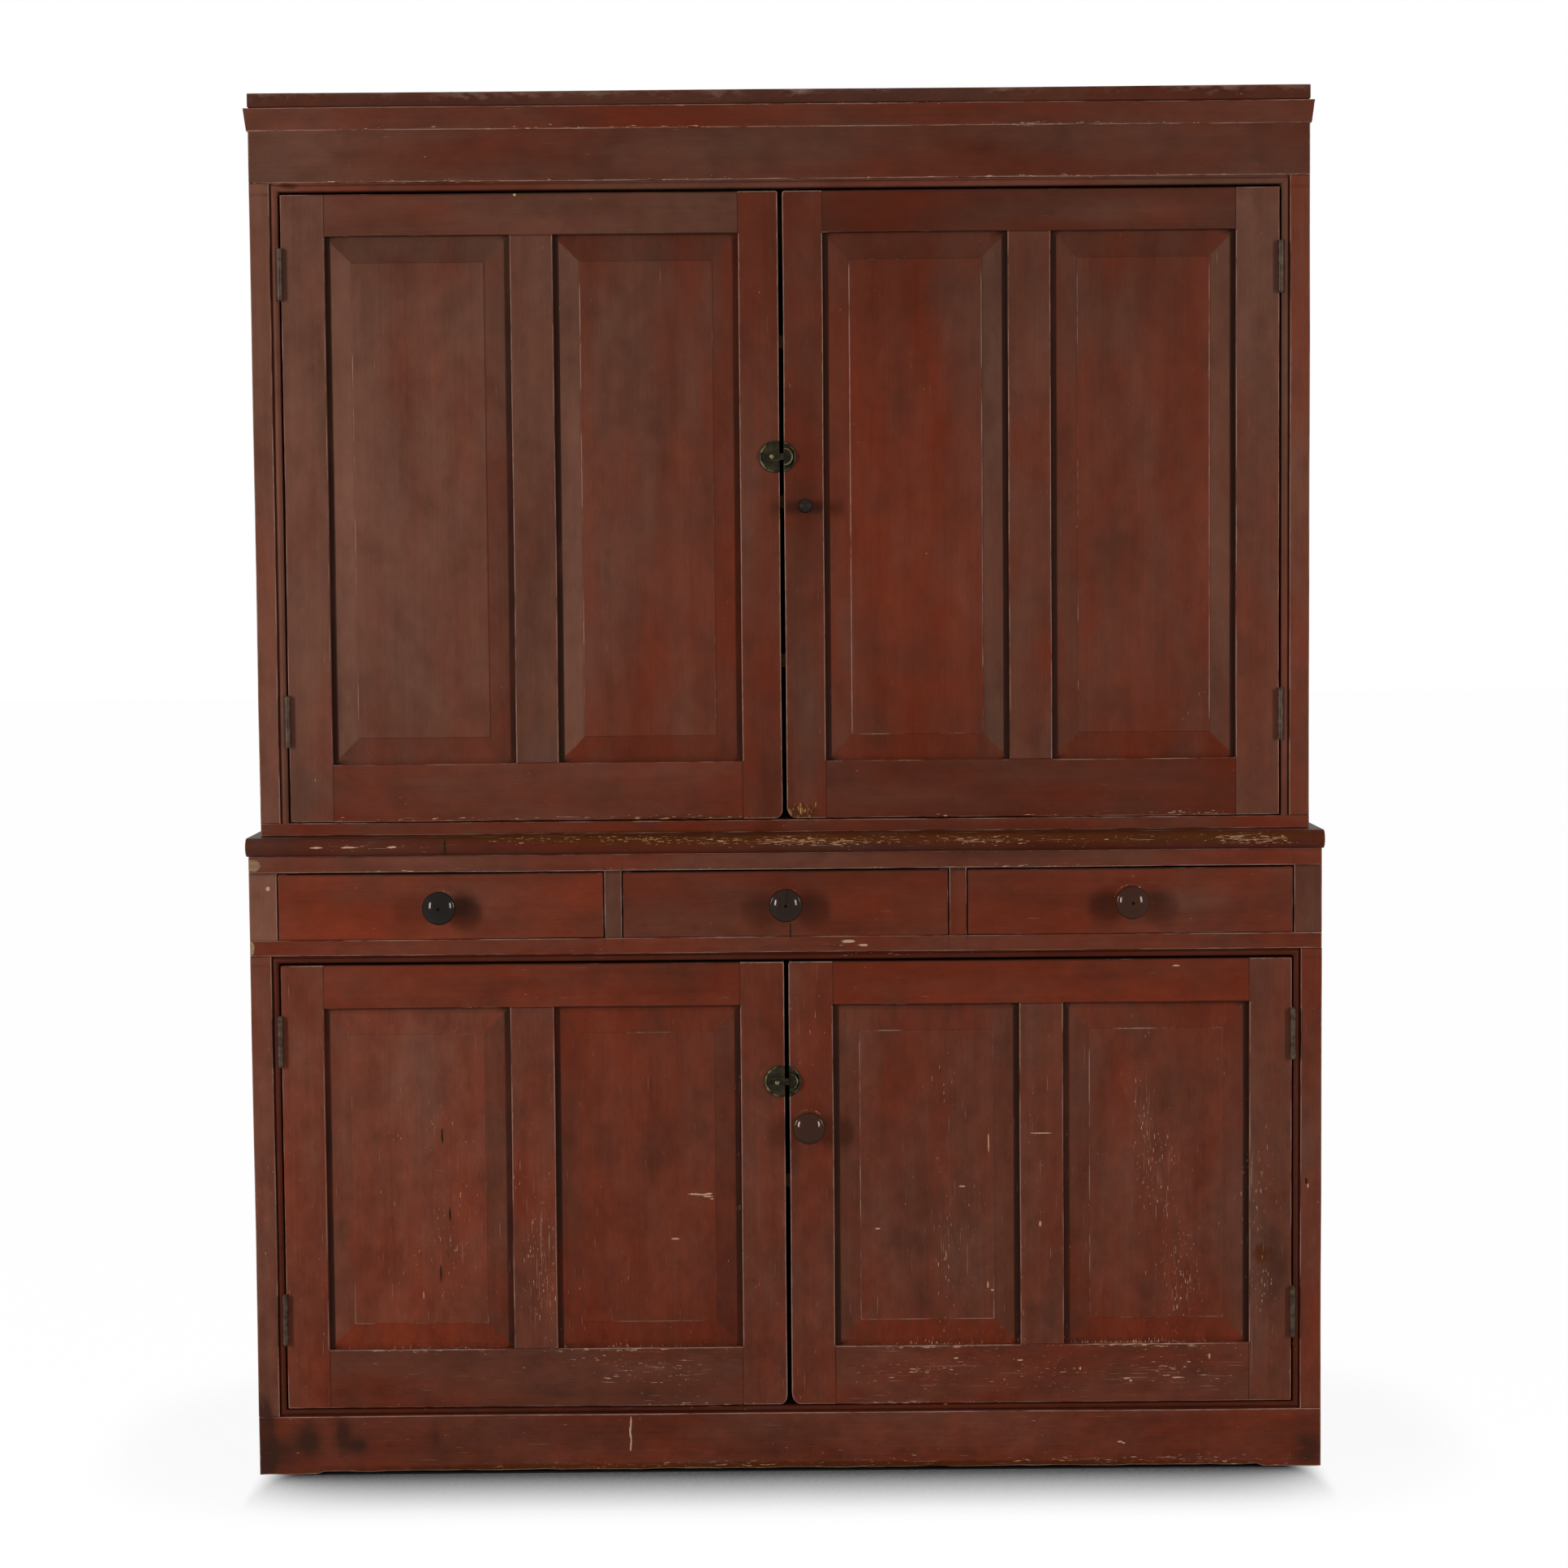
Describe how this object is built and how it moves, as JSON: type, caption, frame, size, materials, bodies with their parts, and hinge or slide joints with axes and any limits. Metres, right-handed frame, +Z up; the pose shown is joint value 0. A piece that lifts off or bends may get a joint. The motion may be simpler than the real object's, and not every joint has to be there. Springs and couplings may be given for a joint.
{
  "type": "linen press",
  "caption": "Painted pine linen press: panelled cupboard standing on a lower case with a row of inset drawers and a panelled cupboard, with iron butt hinges, sliding catches and turned knobs.",
  "frame": {"origin": "on the floor, under the middle of the bounding box", "axes": "+Z up, +X to the right seen from the front, +Y towards the back; the doors and drawers face -Y"},
  "size_m": [1.625, 0.512, 2.09],
  "materials": {
    "red_painted_pine": "aged oxide-red paint, satin, worn at the edges",
    "bare_pine": "bare pine darkened by age",
    "cast_iron": "dark worn casting",
    "turned_wood": "dark turned hardwood, polished by use"
  },
  "bodies": {
    "carcase": {"upper_left_side": "red_painted_pine", "upper_right_side": "red_painted_pine", "lower_left_side": "red_painted_pine", "lower_right_side": "red_painted_pine", "cap_board": "red_painted_pine", "cornice_moulding": "red_painted_pine", "frieze_board": "red_painted_pine", "upper_stiles": "red_painted_pine", "sill_rail": "red_painted_pine", "upper_opening_beads": "red_painted_pine", "waist_board": "red_painted_pine", "drawer_top_rail": "red_painted_pine", "drawer_uprights": "red_painted_pine", "middle_rail": "red_painted_pine", "lower_stiles": "red_painted_pine", "lower_opening_beads": "red_painted_pine", "base_board": "red_painted_pine", "upper_floor_board": "bare_pine", "lower_floor_board": "bare_pine", "upper_shelves": "bare_pine", "lower_shelf": "bare_pine", "upper_back_boards": "bare_pine", "lower_back_boards": "bare_pine", "drawer_runners": "bare_pine", "drawer_kickers": "bare_pine", "hinge_frame_leaves": "cast_iron", "hinge_pins": "cast_iron"},
    "upper_left_door": {"upper_left_door_stiles": "red_painted_pine", "upper_left_door_rails": "red_painted_pine", "upper_left_door_panels": "red_painted_pine", "upper_left_door_hinge_leaves": "cast_iron", "upper_catch_plate": "cast_iron"},
    "upper_right_door": {"upper_right_door_stiles": "red_painted_pine", "upper_right_door_rails": "red_painted_pine", "upper_right_door_panels": "red_painted_pine", "upper_right_door_hinge_leaves": "cast_iron", "upper_catch_keeper": "cast_iron", "upper_door_peg": "turned_wood"},
    "lower_left_door": {"lower_left_door_stiles": "red_painted_pine", "lower_left_door_rails": "red_painted_pine", "lower_left_door_panels": "red_painted_pine", "lower_left_door_hinge_leaves": "cast_iron", "lower_catch_plate": "cast_iron"},
    "lower_right_door": {"lower_right_door_stiles": "red_painted_pine", "lower_right_door_rails": "red_painted_pine", "lower_right_door_panels": "red_painted_pine", "lower_right_door_hinge_leaves": "cast_iron", "lower_catch_keeper": "cast_iron", "lower_door_knob": "turned_wood"},
    "upper_catch_bolt": {"upper_catch_bolt": "cast_iron"},
    "lower_catch_bolt": {"lower_catch_bolt": "cast_iron"},
    "left_drawer": {"left_drawer_front": "red_painted_pine", "left_drawer_box": "bare_pine", "left_drawer_knob": "turned_wood"},
    "middle_drawer": {"middle_drawer_front": "red_painted_pine", "middle_drawer_box": "bare_pine", "middle_drawer_knob": "turned_wood"},
    "right_drawer": {"right_drawer_front": "red_painted_pine", "right_drawer_box": "bare_pine", "right_drawer_knob": "turned_wood"}
  },
  "joints": [
    {"name": "upper_left_door_hinge", "type": "hinge", "parent": "carcase", "child": "upper_left_door", "pos_m": [-0.7505, -0.1886, 1.467], "axis": [0, 0, -1], "range_deg": [0, 170]},
    {"name": "upper_right_door_hinge", "type": "hinge", "parent": "carcase", "child": "upper_right_door", "pos_m": [0.7505, -0.1886, 1.467], "axis": [0, 0, 1], "range_deg": [0, 170]},
    {"name": "lower_left_door_hinge", "type": "hinge", "parent": "carcase", "child": "lower_left_door", "pos_m": [-0.76575, -0.2186, 0.442], "axis": [0, 0, -1], "range_deg": [0, 170]},
    {"name": "lower_right_door_hinge", "type": "hinge", "parent": "carcase", "child": "lower_right_door", "pos_m": [0.76575, -0.2186, 0.442], "axis": [0, 0, 1], "range_deg": [0, 170]},
    {"name": "left_drawer_slide", "type": "slide", "parent": "carcase", "child": "left_drawer", "axis": [0, -1, 0], "range_m": [0, 0.33]},
    {"name": "middle_drawer_slide", "type": "slide", "parent": "carcase", "child": "middle_drawer", "axis": [0, -1, 0], "range_m": [0, 0.33]},
    {"name": "right_drawer_slide", "type": "slide", "parent": "carcase", "child": "right_drawer", "axis": [0, -1, 0], "range_m": [0, 0.33]},
    {"name": "upper_catch_slide", "type": "slide", "parent": "upper_left_door", "child": "upper_catch_bolt", "axis": [1, 0, 0], "range_m": [0, 0.01]},
    {"name": "lower_catch_slide", "type": "slide", "parent": "lower_left_door", "child": "lower_catch_bolt", "axis": [1, 0, 0], "range_m": [0, 0.01]}
  ]
}
